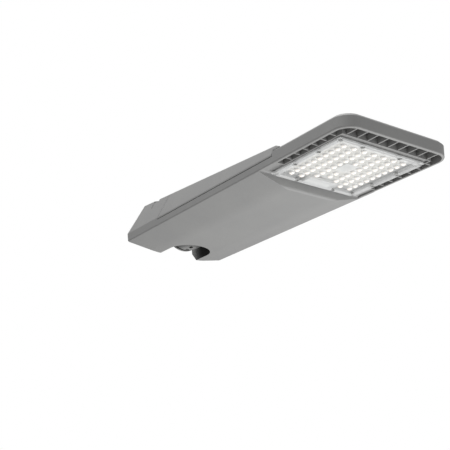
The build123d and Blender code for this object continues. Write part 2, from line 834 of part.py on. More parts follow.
bump_hole = Pos((bump_rear_x + bump_front_x) / 2, 0) * Rectangle(
    bump_front_x - bump_rear_x - 2 * bump_wall, bump_width - 2 * bump_wall)
cover = cover - prism_z(bump_hole, bump_low_z + bump_wall, plate_top_z + over)
save("lens_cover", cover)

# Cover gasket on the land round the chamber
gasket_outer = offset(chamber_outline, amount=gasket_margin + gasket_width, kind=Kind.INTERSECTION)
gasket_inner = offset(chamber_outline, amount=gasket_margin, kind=Kind.INTERSECTION)
save("cover_gasket", prism_z(gasket_outer - gasket_inner, plate_top_z, land_z))

# Cover screws
cover_screws = [screw_up(m4, x, y, plate_low_z, cover_tip_z) for x, y in cover_screws_at]
save("cover_screws", Compound(children=cover_screws))

# Light source: thermal pad, board, LEDs, connector and screws
pad_z = seat_z - pad_thickness
board_z = pad_z - board_thickness
board_outline = offset(chamber_outline, amount=-board_margin, kind=Kind.INTERSECTION)
board_holes = rod_z(grommet_radius, grommet_x, 0, board_z - over, seat_z + over)
board_holes = board_holes + rod_z(vent_bore, vent_x + vent_hole_offset, vent_y, board_z - over, seat_z + over)
for x, y in board_screws_at:
    board_holes = board_holes + rod_z(m3[0] + through_clearance, x, y, board_z - over, seat_z + over)
save("thermal_pad", prism_z(board_outline, pad_z, seat_z) - board_holes)
save("led_board", prism_z(board_outline, board_z, pad_z) - board_holes)
chip_half = chip_size / 2
chips = [block(x - chip_half, x + chip_half, y - chip_half, y + chip_half, board_z - chip_height, board_z)
         for x, y in lens_places]
save("leds", Compound(children=chips))
connector_front_x = connector_rear_x + connector_length
connector = block(
    connector_rear_x, connector_front_x,
    -connector_width / 2, connector_width / 2,
    board_z - connector_height, board_z)
connector_lead_z = board_z - connector_height / 2
for side in (-1, 1):
    connector = connector - rod_x(
        lead_radius, connector_front_x - plug_depth, connector_front_x + over, side * lead_spread, connector_lead_z)
save("board_connector", connector)
board_screws = [screw_up(m3, x, y, board_z, board_tip_z) for x, y in board_screws_at]
save("board_screws", Compound(children=board_screws))

# Breather vent and lead grommet in the shelf
vent = rod_z(vent_head_radius, vent_x, vent_y, seam_z, seam_z + vent_head_height)
vent = vent + rod_z(vent_radius, vent_x, vent_y, seat_z, seam_z)
vent = vent - rod_z(vent_bore, vent_x, vent_y, seat_z - over, seam_z + vent_head_height - over)
save("breather_vent", vent)
grommet = rod_z(grommet_flange, grommet_x, 0, seam_z, seam_z + grommet_flange_height)
grommet = grommet + rod_z(grommet_radius, grommet_x, 0, seat_z, seam_z)
for side in (-1, 1):
    grommet = grommet - rod_z(
        lead_radius, grommet_x, side * lead_spread, seat_z - over, seam_z + grommet_flange_height + over)
save("lead_grommet", grommet)

# Gear tray: a folded sheet on four bosses
tray = block(tray_rear_x, tray_front_x, -tray_half_width, tray_half_width, tray_z, tray_top_z)
tray_side = block(
    tray_rear_x + tray_side_end, tray_front_x - tray_side_end,
    tray_half_width - tray_sheet, tray_half_width,
    tray_top_z, tray_top_z + tray_flange)
tray = tray + both_sides(tray_side)
for x, y in tray_screws_at:
    tray = tray - rod_z(m4_pan[0] + through_clearance, x, y, tray_z - over, tray_top_z + over)

# Driver: a sealed case with a foot at each end
driver_front_x = driver_rear_x + driver_length
driver_top_z = tray_top_z + driver_height
driver = block(driver_rear_x, driver_front_x, -driver_half_width, driver_half_width, tray_top_z, driver_top_z)
driver = chamfer(driver.edges().filter_by(Axis.X).group_by(Axis.Z)[-1], length=driver_edge)
for index in range(driver_grooves):
    y = driver_groove_pitch * (index - (driver_grooves - 1) / 2)
    driver = driver - block(
        driver_rear_x + driver_groove_end, driver_front_x - driver_groove_end,
        y - driver_groove_half, y + driver_groove_half,
        driver_top_z - driver_groove_depth, driver_top_z + over)
driver = driver + block(
    driver_rear_x - driver_ear, driver_front_x + driver_ear, -driver_ear_half_width, driver_ear_half_width,
    tray_top_z, tray_top_z + driver_ear_height)
driver_screws_at = [(driver_rear_x - driver_ear / 2, 0), (driver_front_x + driver_ear / 2, 0)]
for x, y in driver_screws_at:
    driver = driver - rod_z(m4_pan[0] + through_clearance, x, y, tray_top_z - over, driver_top_z)
    tray = tray - rod_z(m4_pan[0] + screw_clearance, x, y, tray_z - over, tray_top_z + over)
lead_z = tray_top_z + driver_height / 2
for y in (-lead_spread, lead_spread):
    driver = driver - rod_x(lead_radius, driver_front_x - port_depth, driver_front_x + over, y, lead_z)
for y in (-terminal_pitch, 0, terminal_pitch):
    driver = driver - rod_x(lead_radius, driver_rear_x - over, driver_rear_x + port_depth, y, lead_z)
save("driver", driver)
driver_screws = []
for x, y in driver_screws_at:
    driver_screws.append(screw_down(m4_pan, x, y, tray_top_z + driver_ear_height, tray_z - driver_screw_end))
save("driver_screws", Compound(children=driver_screws))

# Surge protector: a potted block with one screwed foot
surge_front_x = surge_rear_x + surge_length
surge_y1 = surge_side_y + surge_width
surge = block(surge_rear_x, surge_front_x, surge_side_y, surge_y1, tray_top_z, tray_top_z + surge_height)
surge = chamfer(surge.edges().filter_by(Axis.Z), length=surge_edge)
surge_foot_y = surge_y1 + surge_foot_reach
surge_middle_x = (surge_rear_x + surge_front_x) / 2
foot_top_z = tray_top_z + foot_height
surge = surge + block(
    surge_middle_x - surge_foot_half, surge_middle_x + surge_foot_half,
    surge_y1 - surge_edge, surge_foot_y + foot_end,
    tray_top_z, foot_top_z)
surge = surge - rod_z(m3[0] + through_clearance, surge_middle_x, surge_foot_y, tray_top_z - over, foot_top_z + over)
tray = tray - rod_z(m3[0] + screw_clearance, surge_middle_x, surge_foot_y, tray_z - over, tray_top_z + over)
surge_lead_z = tray_top_z + surge_height / 2
surge_middle_y = (surge_side_y + surge_y1) / 2
for side in (-0.5, 0.5):
    port_y = surge_middle_y + surge_port_pitch * side
    surge = surge - rod_x(lead_radius, surge_rear_x - over, surge_rear_x + port_depth, port_y, surge_lead_z)
save("surge_protector", surge)
save("surge_screw", screw_down(m3, surge_middle_x, surge_foot_y, foot_top_z, tray_z - sheet_screw_end))

# Terminal block: three poles with wire holes at both ends and screw wells on top
terminal_front_x = terminal_rear_x + terminal_length
terminal_top_z = tray_top_z + terminal_height
terminal = block(
    terminal_rear_x, terminal_front_x, -terminal_half_width, terminal_half_width, tray_top_z, terminal_top_z)
wire_z = tray_top_z + wire_rise
terminal_middle_x = (terminal_rear_x + terminal_front_x) / 2
for index in (-1, 0, 1):
    y = terminal_pitch * index
    terminal = terminal - rod_x(
        lead_radius + wire_hole_extra, terminal_rear_x - over, terminal_rear_x + wire_hole_depth, y, wire_z)
    terminal = terminal - rod_x(lead_radius, terminal_front_x - wire_hole_depth, terminal_front_x + over, y, wire_z)
    for end in (-1, 1):
        well_x = terminal_middle_x + end * well_offset
        terminal = terminal - rod_z(well_radius, well_x, y, terminal_top_z - well_depth, terminal_top_z + over)
surge_port_z = tray_top_z + terminal_port_rise
for port in (0, 1):
    port_y = -terminal_pitch * port
    terminal = terminal - rod_x(
        lead_radius, terminal_front_x - port_depth, terminal_front_x + over, port_y, surge_port_z)
for y in (-terminal_pitch / 2, terminal_pitch / 2):
    terminal = terminal - block(
        terminal_rear_x - over, terminal_front_x + over,
        y - slit_half, y + slit_half,
        terminal_top_z - slit_depth, terminal_top_z + over)
terminal_screws_at = [(terminal_middle_x, side * (terminal_half_width + terminal_foot_screw)) for side in (-1, 1)]
for x, y in terminal_screws_at:
    side = 1 if y > 0 else -1
    foot_y0 = side * (terminal_half_width - over)
    foot_y1 = side * (terminal_half_width + terminal_foot)
    terminal = terminal + block(
        x - foot_end, x + foot_end, min(foot_y0, foot_y1), max(foot_y0, foot_y1), tray_top_z, foot_top_z)
    terminal = terminal - rod_z(m3[0] + through_clearance, x, y, tray_top_z - over, foot_top_z + over)
    tray = tray - rod_z(m3[0] + screw_clearance, x, y, tray_z - over, tray_top_z + over)
save("terminal_block", terminal)
terminal_screws = [screw_down(m3, x, y, foot_top_z, tray_z - sheet_screw_end) for x, y in terminal_screws_at]
save("terminal_screws", Compound(children=terminal_screws))

# Cord clamp: a base and a bar with a round bore between them
clamp_front_x = clamp_rear_x + clamp_length
clamp_joint_z = tray_top_z + clamp_base_height
clamp_bore_cut = rod_x(clamp_bore, clamp_rear_x - over, clamp_front_x + over, 0, clamp_joint_z)
clamp_middle_x = (clamp_rear_x + clamp_front_x) / 2
clamp_screws_at = [(clamp_middle_x, side * clamp_screw_y) for side in (-1, 1)]
clamp_base = block(
    clamp_rear_x, clamp_front_x, -clamp_half_width, clamp_half_width, tray_top_z, clamp_joint_z)
clamp_base = clamp_base - clamp_bore_cut
clamp_bar_z = clamp_joint_z + clamp_bar_height
clamp_bar = block(clamp_rear_x, clamp_front_x, -clamp_half_width, clamp_half_width, clamp_joint_z, clamp_bar_z)
clamp_arch = rod_x(clamp_bore + clamp_arch_wall, clamp_rear_x, clamp_front_x, 0, clamp_joint_z)
clamp_arch = clamp_arch & block(
    clamp_rear_x, clamp_front_x, -clamp_half_width, clamp_half_width, clamp_joint_z, high_z)
clamp_bar = clamp_bar + clamp_arch - clamp_bore_cut
for x, y in clamp_screws_at:
    clamp_bar = clamp_bar - rod_z(m3[0] + through_clearance, x, y, clamp_joint_z - over, high_z)
    clamp_base = clamp_base - rod_z(m3[0] + screw_clearance, x, y, tray_z - over, clamp_joint_z + over)
    tray = tray - rod_z(m3[0] + screw_clearance, x, y, tray_z - over, tray_top_z + over)
save("cord_clamp_base", clamp_base)
save("cord_clamp_bar", clamp_bar)
clamp_screws = [screw_down(m3, x, y, clamp_bar_z, tray_z - sheet_screw_end) for x, y in clamp_screws_at]
save("cord_clamp_screws", Compound(children=clamp_screws))
save("gear_tray", tray)
tray_tip_z = bottom_z + tray_bore_floor + tray_tip_gap
tray_screws = [screw_down(m4_pan, x, y, tray_top_z, tray_tip_z) for x, y in tray_screws_at]
save("tray_screws", Compound(children=tray_screws))

# Cable gland in the wall between the socket chamber and the bay
gland_body_x = gland_face_x + gland_body_length
gland_cap_x = gland_body_x + gland_cap_length
gland_hexagon = RegularPolygon(gland_hex, 6)
gland_body = Pos(gland_face_x, 0, gland_z) * extrude(Plane.YZ * gland_hexagon, amount=gland_body_length)
gland_start_x = pivot_x + notch_radius + gland_thread_gap
gland_thread_end_x = gland_cap_x - gland_nose
gland_step_radius = gland_thread_radius - gland_thread_step
gland_body = gland_body + rod_x(gland_thread_radius, gland_start_x, gland_face_x, 0, gland_z)
gland_body = gland_body + rod_x(gland_step_radius, gland_body_x, gland_thread_end_x, 0, gland_z)
gland_body = gland_body - rod_x(gland_bore + gland_seal_wall, pivot_x, gland_cap_x + over, 0, gland_z)
save("gland_body", gland_body)
gland_seal = rod_x(gland_bore + gland_seal_wall, gland_body_x - gland_seal_lap, gland_thread_end_x, 0, gland_z)
gland_seal = gland_seal - rod_x(gland_bore, gland_face_x, gland_cap_x, 0, gland_z)
save("gland_seal", gland_seal)
gland_cap = rod_x(gland_cap_radius, gland_body_x, gland_cap_x, 0, gland_z)
gland_cap = gland_cap - rod_x(
    gland_step_radius + gland_thread_clearance,
    gland_body_x - over, gland_thread_end_x + gland_thread_clearance, 0, gland_z)
gland_cap = gland_cap - rod_x(gland_bore, gland_body_x - over, gland_cap_x + over, 0, gland_z)
save("gland_cap", gland_cap)

# Inner leads, each held at both ends
lead_section = lead_radius - lead_clearance


def lead(points, radii):
    """A round lead along straight runs joined by tangent arcs."""
    path = FilletPolyline(*points, radius=radii)
    start = path @ 0
    heading = path % 0
    return sweep(Plane(origin=start, z_dir=heading) * Circle(lead_section), path=path)


input_leads = []
for index in (-1, 0, 1):
    y = terminal_pitch * index
    input_leads.append(lead(
        [
            (terminal_front_x - wire_hole_depth + lead_end_gap, y, wire_z),
            (terminal_front_x + input_lead_run, y, wire_z),
            (driver_rear_x - input_lead_end, y, lead_z),
            (driver_rear_x + port_depth - lead_end_gap, y, lead_z),
        ],
        (input_bend, input_bend),
    ))
save("input_leads", Compound(children=input_leads))
output_leads = []
shelf_lead_z = seam_z + shelf_lead_rise
for side in (-1, 1):
    y = side * lead_spread
    output_leads.append(lead(
        [
            (driver_front_x - port_depth + lead_end_gap, y, lead_z),
            (driver_front_x + output_lead_run, y, lead_z),
            (shelf_rear_x - output_lead_end, y, shelf_lead_z),
            (grommet_x, y, shelf_lead_z),
            (grommet_x, y, connector_lead_z),
            (connector_front_x - plug_depth + lead_end_gap, y, connector_lead_z),
        ],
        output_bends,
    ))
save("output_leads", Compound(children=output_leads))
surge_leads = []
for port in (0, 1):
    port_y = -terminal_pitch * port
    end_y = surge_middle_y + surge_port_pitch * (0.5 - port)
    surge_leads.append(lead(
        [
            (terminal_front_x - port_depth + lead_end_gap, port_y, surge_port_z),
            (terminal_front_x + surge_lead_run, port_y, surge_port_z),
            (surge_rear_x - surge_lead_run, end_y, surge_lead_z),
            (surge_rear_x + port_depth - lead_end_gap, end_y, surge_lead_z),
        ],
        (surge_bend, surge_bend),
    ))
save("surge_leads", Compound(children=surge_leads))

# Pole socket: a lipped sleeve with a ball-shaped inner end that turns between two pivot bolts
bore_radius = pole_radius + bore_clearance
ring_x = lip_length + groove_length
socket = rod_x(lip_radius, 0, lip_length, 0, 0)
socket = socket + rod_x(groove_radius, lip_length, ring_x, 0, 0)
socket = socket + rod_x(ring_radius, ring_x, ring_x + ring_length, 0, 0)
ball_radius = notch_radius - ball_gap
ball = Pos(pivot_x, 0, 0) * Sphere(ball_radius)
ball = ball & block(ball_rear_x, ball_front_x, -ball_radius, ball_radius, -ball_radius, ball_radius)
socket = socket + ball
boss_face_y = notch_radius - boss_gap
socket = socket + rod_y(boss_radius, pivot_x, -boss_face_y, boss_face_y, 0)
socket = socket - rod_x(bore_radius, -over, bore_depth, 0, 0)
socket = socket - rod_x(stop_radius, bore_depth - over, ball_front_x + over, 0, 0)
for side in (-1, 1):
    inner = side * pivot_tip_y
    outer = side * (notch_radius + over)
    socket = socket - rod_y(pivot_radius, pivot_x, min(inner, outer), max(inner, outer), 0)
for x in set_screw_x:
    socket = socket - rod_z(set_screw_radius, x, 0, -ball_radius - over, -bore_radius + over)
save("pole_socket", socket)

# Pivot bolts and washers
bolt_seat_y = notch_radius + notch_wall + boss_gap + washer_thickness
bolts = []
washers = []
for side in (-1, 1):
    tip = side * pivot_tip_y
    seat = side * bolt_seat_y
    top = side * (bolt_seat_y + pivot_head)
    bolt = rod_y(pivot_radius, pivot_x, min(tip, seat), max(tip, seat), 0)
    head = Pos(pivot_x, min(seat, top) + pivot_head / 2, 0) * Rot(90, 0, 0) * extrude(
        RegularPolygon(pivot_hex, 6), amount=pivot_head / 2, both=True)
    bolts.append(bolt + head)
    face = side * (notch_radius + notch_wall + boss_gap)
    washer = rod_y(washer_radius, pivot_x, min(face, seat), max(face, seat), 0)
    washer_hole = rod_y(pivot_radius + screw_clearance, pivot_x, min(face, seat) - over, max(face, seat) + over, 0)
    washers.append(washer - washer_hole)
save("pivot_bolts", Compound(children=bolts))
save("pivot_washers", Compound(children=washers))

# Set screws that hold the pole, flush with the bore
set_screws = []
for x in set_screw_x:
    low_z = -bore_radius - set_screw_gap - set_screw_length
    body = rod_z(set_screw_radius, x, 0, low_z, low_z + set_screw_length)
    drive = Pos(x, 0, low_z) * extrude(RegularPolygon(set_screw_drive, 6), amount=set_screw_drive_depth)
    set_screws.append(body - drive)
save("set_screws", Compound(children=set_screws))

# Rubber ring in the groove behind the lip
seal_ring = rod_x(groove_radius + ring_stand, lip_length, ring_x, 0, 0)
seal_ring = seal_ring - rod_x(groove_radius, lip_length - over, ring_x + over, 0, 0)
save("socket_ring", seal_ring)
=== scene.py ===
from math import atan2, cos, pi, radians, sin

import bpy
from mathutils import Matrix, Vector


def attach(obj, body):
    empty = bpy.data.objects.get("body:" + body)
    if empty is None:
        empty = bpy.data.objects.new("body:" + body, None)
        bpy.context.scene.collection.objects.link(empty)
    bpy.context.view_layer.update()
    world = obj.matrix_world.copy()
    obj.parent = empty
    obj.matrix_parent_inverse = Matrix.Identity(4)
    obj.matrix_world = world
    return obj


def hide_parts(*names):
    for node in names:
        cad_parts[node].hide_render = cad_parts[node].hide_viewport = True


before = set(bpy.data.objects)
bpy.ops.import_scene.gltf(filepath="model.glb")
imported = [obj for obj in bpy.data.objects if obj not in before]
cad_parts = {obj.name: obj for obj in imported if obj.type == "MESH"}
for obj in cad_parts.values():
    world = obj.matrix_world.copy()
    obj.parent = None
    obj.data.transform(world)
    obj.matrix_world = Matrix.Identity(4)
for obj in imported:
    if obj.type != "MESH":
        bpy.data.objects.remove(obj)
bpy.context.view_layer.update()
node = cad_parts

# Camera: it stands below the lamp head, out beyond the nose on the right side, and looks up and
# back along it, as a person on the pavement would. A long lens keeps the head nearly parallel.
camera_place = Vector((1.5848, -0.9618, -0.6380))
camera_right = Vector((0.55907, 0.82910, 0.00609)).normalized()
camera_ahead = Vector((-0.78289, 0.52547, 0.33311)).normalized()
camera_up = camera_right.cross(camera_ahead)
bpy.ops.object.camera_add(location=camera_place)
camera = bpy.context.object
camera.name = "camera"
turn = Matrix((camera_right, camera_up, -camera_ahead)).transposed().to_4x4()
camera.matrix_world = Matrix.Translation(camera_place) @ turn
camera.data.sensor_width = 36
camera.data.lens = 77.76
camera.data.clip_end = 50
bpy.context.scene.camera = camera
bpy.context.scene.view_settings.view_transform = "Standard"

# World: an even white studio round the lamp head. The camera sees pure white, also through clear
# plastic, and all else is lit by a dimmer pale light, so that greys render about as written.


def linear(hex_colour):
    """An sRGB colour of six hex digits, as linear red, green and blue with full alpha."""
    values = [int(hex_colour[i:i + 2], 16) / 255 for i in (0, 2, 4)]
    return [v / 12.92 if v <= 0.04045 else ((v + 0.055) / 1.055) ** 2.4 for v in values] + [1.0]


def add(tree, kind, settings=None, *sources, **links):
    """Adds a node with its settings, and links output sockets to its inputs: those without a name
    to its first inputs in order, and the others to the input of that name."""
    made = tree.nodes.new(kind)
    for key, value in (settings or {}).items():
        if key in made.inputs:
            made.inputs[key].default_value = value
        else:
            setattr(made, key, value)
    for source, socket in zip(sources, made.inputs):
        tree.links.new(source, socket)
    for key, source in links.items():
        tree.links.new(source, made.inputs[key.replace("_", " ")])
    return made


world = bpy.data.worlds.new("studio")
bpy.context.scene.world = world
world.use_nodes = True
tree = world.node_tree
tree.nodes.clear()
rays = add(tree, "ShaderNodeLightPath").outputs
seen = add(
    tree, "ShaderNodeMath", {"operation": "MAXIMUM"},
    rays["Is Camera Ray"], rays["Is Transmission Ray"])
soft_light = add(tree, "ShaderNodeBackground", {"Color": linear("F7F7F7"), "Strength": 0.4})
white_view = add(tree, "ShaderNodeBackground", {"Color": linear("FFFFFF"), "Strength": 1.0})
blend = add(
    tree, "ShaderNodeMixShader", {}, seen.outputs[0], soft_light.outputs[0], white_view.outputs[0])
add(tree, "ShaderNodeOutputWorld", Surface=blend.outputs[0])

# Floor: a pale sheet far under the lamp head, which throws soft light back up at it. The camera
# sees it a little brighter than it is lit.
head_middle = Vector((0.3, 0, 0))
floor_z = -1.6
bpy.ops.mesh.primitive_plane_add(size=30, location=(head_middle.x, 0, floor_z))
floor = bpy.context.object
floor.name = "floor"
pale = bpy.data.materials.new("pale_floor")
pale.use_nodes = True
tree = pale.node_tree
shader = tree.nodes["Principled BSDF"]
shader.inputs["Base Color"].default_value = linear("F2F2F1")
shader.inputs["Roughness"].default_value = 0.9
shader.inputs["Emission Color"].default_value = linear("C8C8C7")
rays = add(tree, "ShaderNodeLightPath").outputs
tree.links.new(rays["Is Camera Ray"], shader.inputs["Emission Strength"])
floor.data.materials.append(pale)

# Lamps: one soft panel high over the right side of the head, and one low on its left side, out
# beyond the nose, that lights the underside.
for name, stand, size, power in (
    ("sky_panel", (0.4, -0.65, 2.0), 1.4, 50.0),
    ("under_panel", (0.72, 0.69, -1.15), 1.1, 15.0),
):
    bpy.ops.object.light_add(type="AREA", location=stand)
    lamp = bpy.context.object
    lamp.name = name
    lamp.data.size = size
    lamp.data.energy = power
    lamp.visible_camera = False
    lamp.rotation_euler = (head_middle - Vector(stand)).to_track_quat("-Z", "Y").to_euler()

# Lid: die-cast aluminium under a light grey powder coat, hinged at its rear and screwed down in
# front. The coat has an orange peel of about 1.6 mm and specks of 0.7 mm, and its tone and gloss
# drift in clouds of about 110 mm, where the spray lay thicker.


def new_finish(name, settings=None):
    """Starts a material with its shader's constant values. Gives the material, its node tree and
    the output for the place on the piece."""
    material = bpy.data.materials.new(name)
    material.use_nodes = True
    tree = material.node_tree
    for key, value in (settings or {}).items():
        tree.nodes["Principled BSDF"].inputs[key].default_value = value
    return material, tree, add(tree, "ShaderNodeTexCoord").outputs["Object"]


def lay_on(tree, tone=None, gloss=None, relief=None):
    """Links a finish's colour, roughness and relief to its shader."""
    inputs = tree.nodes["Principled BSDF"].inputs
    for source, socket in ((tone, "Base Color"), (gloss, "Roughness"), (relief, "Normal")):
        if source is not None:
            tree.links.new(source, inputs[socket])


def dress(names, material):
    """Gives CAD nodes their material."""
    for name in names:
        node[name].data.materials.clear()
        node[name].data.materials.append(material)


paint, tree, place = new_finish("grey_powder_coat")
drift = add(tree, "ShaderNodeTexNoise", {
    "Scale": 9.0, "Detail": 4.0, "Roughness": 0.6}, Vector=place)
speck = add(tree, "ShaderNodeTexNoise", {"Scale": 1400.0, "Detail": 2.0}, Vector=place)
peel = add(tree, "ShaderNodeTexNoise", {
    "Scale": 620.0, "Detail": 3.0, "Roughness": 0.55}, Vector=place)
tone = add(tree, "ShaderNodeValToRGB", Fac=drift.outputs["Fac"])
tone.color_ramp.elements[0].position = 0.3
tone.color_ramp.elements[0].color = linear("959595")
tone.color_ramp.elements[1].position = 0.7
tone.color_ramp.elements[1].color = linear("9B9B9A")
fleck = add(tree, "ShaderNodeValToRGB", Fac=speck.outputs["Fac"])
fleck.color_ramp.elements[0].position = 0.35
fleck.color_ramp.elements[0].color = linear("F0F0F0")
fleck.color_ramp.elements[1].position = 0.6
fleck.color_ramp.elements[1].color = linear("FFFFFF")
flecked = add(tree, "ShaderNodeMix", {
    "data_type": "RGBA", "blend_type": "MULTIPLY", "Factor": 1.0})
tree.links.new(tone.outputs["Color"], flecked.inputs[6])
tree.links.new(fleck.outputs["Color"], flecked.inputs[7])
gloss = add(tree, "ShaderNodeMapRange", {
    "To Min": 0.46, "To Max": 0.58}, Value=drift.outputs["Fac"])
bump = add(tree, "ShaderNodeBump", {
    "Strength": 0.16, "Distance": 0.0002}, Height=peel.outputs["Fac"])
lay_on(tree, flecked.outputs[2], gloss.outputs["Result"], bump.outputs["Normal"])
dress(("lid",), paint)

# Housing: one aluminium die casting under the same coat. Painted shade darkens it where ambient
# occlusion finds it enclosed, as in the rib cells, and turns it near black and matt in the enclosed
# socket chamber. The chamber is round ahead of the socket's pivot and straight behind it.
pivot = (0.024, 0.0, 0.0)
chamber_radius = 0.0428
lip_radius = 0.0438
shade_painted_coat = paint.copy()
shade_painted_coat.name = "grey_powder_coat_painted_shade"
tree = shade_painted_coat.node_tree
inputs = tree.nodes["Principled BSDF"].inputs
full_tone = inputs["Base Color"].links[0].from_socket
full_gloss = inputs["Roughness"].links[0].from_socket
place = add(tree, "ShaderNodeTexCoord").outputs["Object"]
# Painted shade: ambient occlusion darkens the colour in recesses to 0.72 of the coat's tone.
occlusion = add(tree, "ShaderNodeAmbientOcclusion", {"Distance": 0.04, "samples": 8}).outputs["AO"]
recess_shade = add(tree, "ShaderNodeMapRange", {"From Max": 0.5, "To Min": 0.72}, Value=occlusion)
open_air = add(tree, "ShaderNodeMapRange", {"From Min": 0.85, "From Max": 0.99}, Value=occlusion)
from_pivot = add(tree, "ShaderNodeVectorMath", {"operation": "SUBTRACT"}, place)
from_pivot.inputs[1].default_value = pivot
ahead = add(tree, "ShaderNodeVectorMath", {"operation": "MAXIMUM"}, from_pivot.outputs[0])
ahead.inputs[1].default_value = (0.0, -1.0, -1.0)
level = add(tree, "ShaderNodeVectorMath", {"operation": "MULTIPLY"}, ahead.outputs[0])
level.inputs[1].default_value = (1.0, 1.0, 0.0)
radius = add(tree, "ShaderNodeVectorMath", {"operation": "LENGTH"}, level.outputs[0])
outside = add(tree, "ShaderNodeMapRange", {
    "From Min": chamber_radius, "From Max": lip_radius}, Value=radius.outputs["Value"])
unshaded = add(
    tree, "ShaderNodeMath", {"operation": "MAXIMUM"},
    open_air.outputs["Result"], outside.outputs["Result"])
# Painted shade: where the chamber is enclosed, the colour drops to 0.04 of the coat's tone.
chamber_shade = add(tree, "ShaderNodeMapRange", {"To Min": 0.04}, Value=unshaded.outputs[0])
shade = add(
    tree, "ShaderNodeMath", {"operation": "MULTIPLY"},
    recess_shade.outputs["Result"], chamber_shade.outputs["Result"])
shaded = add(tree, "ShaderNodeMix", {
    "data_type": "RGBA", "blend_type": "MULTIPLY", "Factor": 1.0})
tree.links.new(full_tone, shaded.inputs[6])
tree.links.new(shade.outputs[0], shaded.inputs[7])
matt = add(tree, "ShaderNodeMapRange", {"To Min": 1.0, "To Max": 0.0}, Value=unshaded.outputs[0])
rough = add(
    tree, "ShaderNodeMath", {"operation": "MAXIMUM"}, full_gloss, matt.outputs["Result"])
lay_on(tree, shaded.outputs[2], rough.outputs[0])
dress(("housing",), shade_painted_coat)

# Pole socket: a smaller die casting, which turns on two bolts in the housing's chamber. It has the
# same coat with the same painted shade, less deep: its tone drops only to 0.24 where enclosed.
shaded_coat = shade_painted_coat.copy()
shaded_coat.name = "grey_powder_coat_shaded"
shaded_coat.node_tree.nodes[chamber_shade.name].inputs["To Min"].default_value = 0.24
dress(("pole_socket",), shaded_coat)

# Seam gasket, cover gasket, gland seal, lead grommet and socket ring: black silicone rubber, cut
# or moulded, and pressed between the castings. It is matt, with a dusty bloom of about 6 mm.
rubber, tree, place = new_finish("black_silicone")
bloom = add(tree, "ShaderNodeTexNoise", {
    "Scale": 160.0, "Detail": 5.0, "Roughness": 0.65}, Vector=place)
tone = add(tree, "ShaderNodeValToRGB", Fac=bloom.outputs["Fac"])
tone.color_ramp.elements[0].position = 0.35
tone.color_ramp.elements[0].color = linear("141415")
tone.color_ramp.elements[1].position = 0.75
tone.color_ramp.elements[1].color = linear("222223")
gloss = add(tree, "ShaderNodeMapRange", {
    "To Min": 0.62, "To Max": 0.85}, Value=bloom.outputs["Fac"])
bump = add(tree, "ShaderNodeBump", {
    "Strength": 0.15, "Distance": 0.0002}, Height=bloom.outputs["Fac"])
lay_on(tree, tone.outputs["Color"], gloss.outputs["Result"], bump.outputs["Normal"])
dress(("lid_gasket", "cover_gasket", "gland_seal", "lead_grommet", "socket_ring"), rubber)

# Screws, pivot bolts, washers and hinge pins: plain stainless steel, cold headed and tumbled.
# Fine scratches of about 0.5 mm run every way and change the gloss from place to place.
steel, tree, place = new_finish("stainless_steel", {"Metallic": 1.0})
cloud = add(tree, "ShaderNodeTexNoise", {"Scale": 240.0, "Detail": 4.0}, Vector=place)
scratch = add(tree, "ShaderNodeTexNoise", {
    "Scale": 1800.0, "Detail": 3.0, "Distortion": 1.5}, Vector=place)
tone = add(tree, "ShaderNodeValToRGB", Fac=cloud.outputs["Fac"])
tone.color_ramp.elements[0].color = linear("A9A9A8")
tone.color_ramp.elements[1].color = linear("CFCFCD")
gloss = add(tree, "ShaderNodeMapRange", {
    "To Min": 0.26, "To Max": 0.46}, Value=scratch.outputs["Fac"])
bump = add(tree, "ShaderNodeBump", {
    "Strength": 0.08, "Distance": 0.0001}, Height=scratch.outputs["Fac"])
lay_on(tree, tone.outputs["Color"], gloss.outputs["Result"], bump.outputs["Normal"])
dress((
    "hinge_pins", "lid_screws", "cover_screws", "board_screws", "tray_screws", "driver_screws",
    "surge_screw", "terminal_screws", "cord_clamp_screws", "pivot_bolts", "pivot_washers",
), steel)

# Set screws: hardened steel with a black oxide, screwed in from the socket's underside. They are
# oily, and slightly brown where the oxide has rubbed off.
oxide, tree, place = new_finish("black_oxide_steel", {"Metallic": 0.85})
rub = add(tree, "ShaderNodeTexNoise", {"Scale": 300.0, "Detail": 5.0}, Vector=place)
tone = add(tree, "ShaderNodeValToRGB", Fac=rub.outputs["Fac"])
tone.color_ramp.elements[0].position = 0.4
tone.color_ramp.elements[0].color = linear("242322")
tone.color_ramp.elements[1].position = 0.8
tone.color_ramp.elements[1].color = linear("4A4642")
gloss = add(tree, "ShaderNodeMapRange", {
    "To Min": 0.35, "To Max": 0.6}, Value=rub.outputs["Fac"])
lay_on(tree, tone.outputs["Color"], gloss.outputs["Result"])
dress(("set_screws",), oxide)

# Gland, cord clamp and breather vent: black glass-filled polyamide, injection moulded, with the
# mould's fine spark-eroded grain of about 0.5 mm.
polyamide, tree, place = new_finish("black_polyamide")
grain = add(tree, "ShaderNodeTexNoise", {"Scale": 2200.0, "Detail": 2.0}, Vector=place)
flow = add(tree, "ShaderNodeTexNoise", {
    "Scale": 60.0, "Detail": 3.0, "Distortion": 0.8}, Vector=place)
tone = add(tree, "ShaderNodeValToRGB", Fac=flow.outputs["Fac"])
tone.color_ramp.elements[0].color = linear("1B1B1D")
tone.color_ramp.elements[1].color = linear("2A2A2C")
gloss = add(tree, "ShaderNodeMapRange", {
    "To Min": 0.42, "To Max": 0.6}, Value=grain.outputs["Fac"])
bump = add(tree, "ShaderNodeBump", {
    "Strength": 0.12, "Distance": 0.0001}, Height=grain.outputs["Fac"])
lay_on(tree, tone.outputs["Color"], gloss.outputs["Result"], bump.outputs["Normal"])
dress(("gland_body", "gland_cap", "cord_clamp_base", "cord_clamp_bar", "breather_vent"), polyamide)

